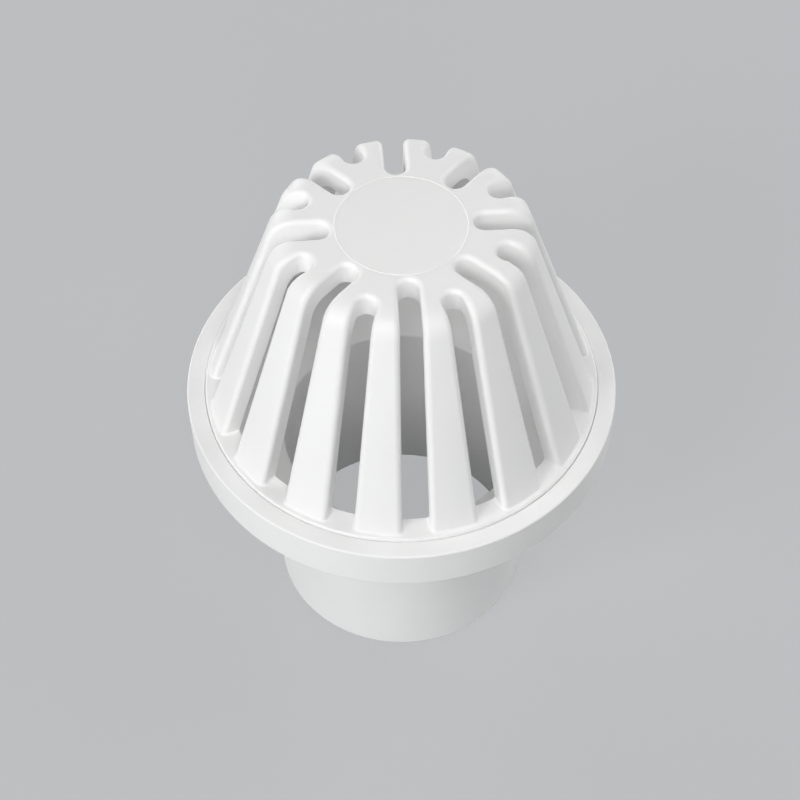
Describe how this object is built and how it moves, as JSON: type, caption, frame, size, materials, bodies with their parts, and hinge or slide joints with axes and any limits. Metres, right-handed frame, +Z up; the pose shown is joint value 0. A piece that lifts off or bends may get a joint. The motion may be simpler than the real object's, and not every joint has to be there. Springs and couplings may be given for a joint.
{
  "type": "roof drain",
  "caption": "Round roof drain body with a sloping sump and straight pipe spigot, under a slotted dome grate.",
  "frame": {"origin": "centre of the spigot's lower end, the lowest point of the part", "axes": "+Z up along the pipe axis, towards the dome's top; a long slot faces along +X, -X, +Y and -Y"},
  "size_m": [0.1806, 0.1806, 0.2166],
  "materials": {
    "white_upvc": "semi-gloss moulded"
  },
  "bodies": {
    "root": {"drain_body": "white_upvc", "dome_grate": "white_upvc"}
  },
  "joints": []
}
